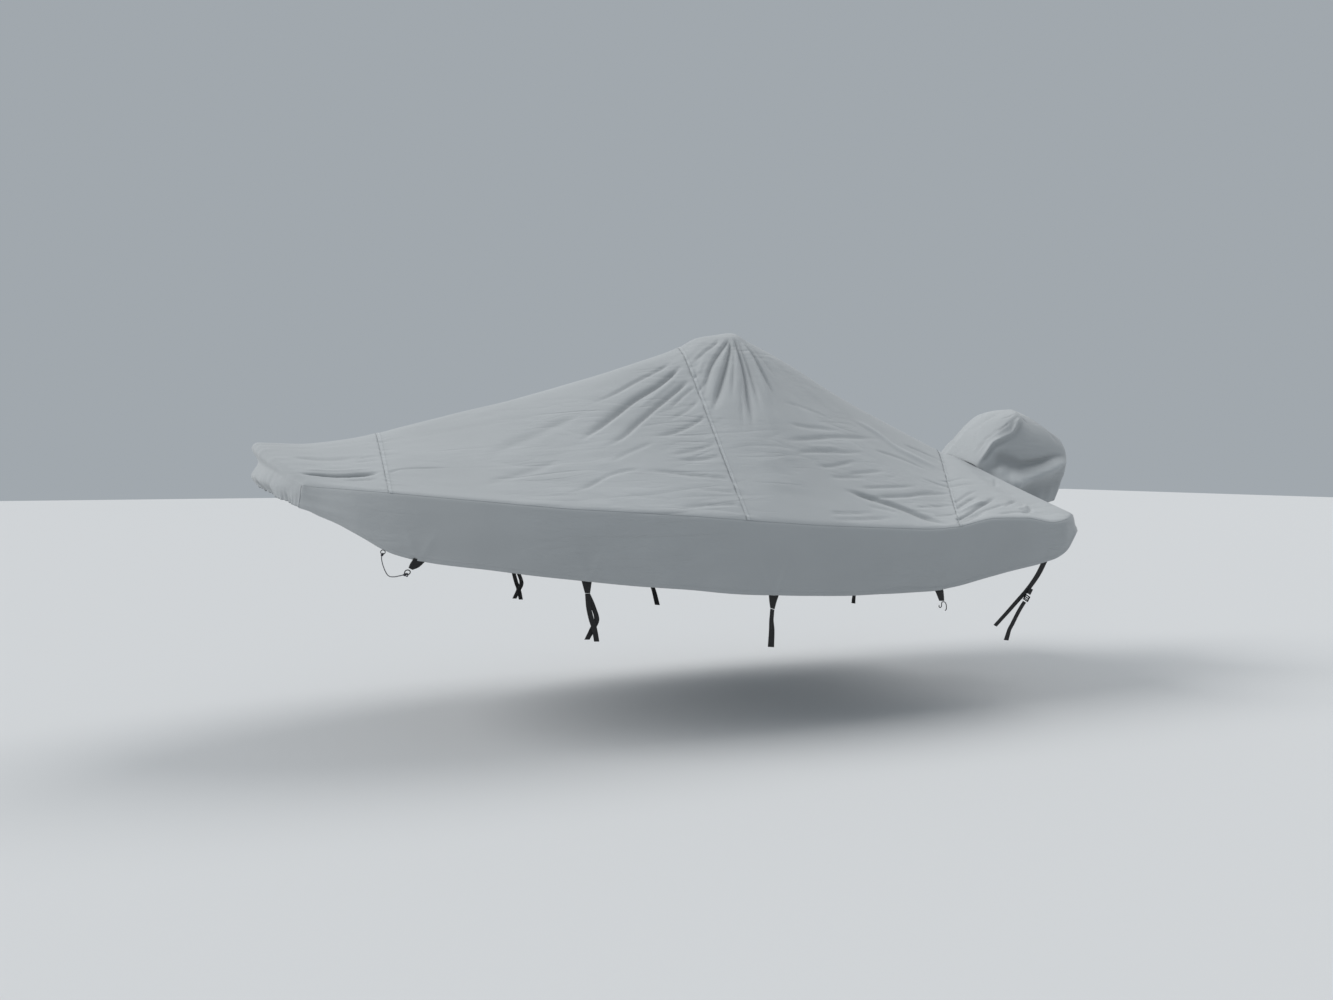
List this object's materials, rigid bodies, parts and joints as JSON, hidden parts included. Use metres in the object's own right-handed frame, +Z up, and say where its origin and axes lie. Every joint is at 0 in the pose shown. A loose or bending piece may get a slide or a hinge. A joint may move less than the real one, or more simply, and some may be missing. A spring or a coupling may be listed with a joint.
{
  "type": "fitted_boat_cover",
  "caption": "Fitted grey cloth cover for an open motorboat, peaked over its console, with a motor hood and black tie-down straps",
  "frame": {"origin": "the underside of the cloth at the cover's peak, where the boat's console holds it up", "axes": "+X aft along the boat, +Y to starboard, +Z up; the port side is at -Y"},
  "size_m": [5.9246, 2.1942, 2.0881],
  "materials": {
    "cover_cloth": "coated polyester canvas, plain fine weave, dull grey",
    "strap_webbing": "black polypropylene webbing, flat woven",
    "buckle_plastic": "black moulded plastic, satin",
    "coated_steel": "black coated bent wire",
    "cord_braid": "dark blue-black braided elastic cord"
  },
  "bodies": {
    "root": {"bow_panel": "cover_cloth", "fore_deck": "cover_cloth", "aft_deck": "cover_cloth", "stern_deck": "cover_cloth", "side_port": "cover_cloth", "side_starboard": "cover_cloth", "transom_port": "cover_cloth", "transom_starboard": "cover_cloth", "motor_hood": "cover_cloth", "bow_tab_port": "strap_webbing", "fore_tab_port": "strap_webbing", "fore_strap_outer_port": "strap_webbing", "fore_strap_inner_port": "strap_webbing", "mid_tab_port": "strap_webbing", "mid_strap_port": "strap_webbing", "rear_tab_port": "strap_webbing", "stern_strap_port": "strap_webbing", "stern_branch_port": "strap_webbing", "stern_tail_port": "strap_webbing", "cord_ring_port": "buckle_plastic", "stern_buckle_port": "buckle_plastic", "rear_hook_port": "coated_steel", "bow_tab_starboard": "strap_webbing", "fore_tab_starboard": "strap_webbing", "fore_strap_outer_starboard": "strap_webbing", "fore_strap_inner_starboard": "strap_webbing", "mid_tab_starboard": "strap_webbing", "mid_strap_starboard": "strap_webbing", "rear_tab_starboard": "strap_webbing", "stern_strap_starboard": "strap_webbing", "stern_branch_starboard": "strap_webbing", "stern_tail_starboard": "strap_webbing", "cord_ring_starboard": "buckle_plastic", "stern_buckle_starboard": "buckle_plastic", "rear_hook_starboard": "coated_steel", "bow_cord": "cord_braid"}
  },
  "joints": []
}
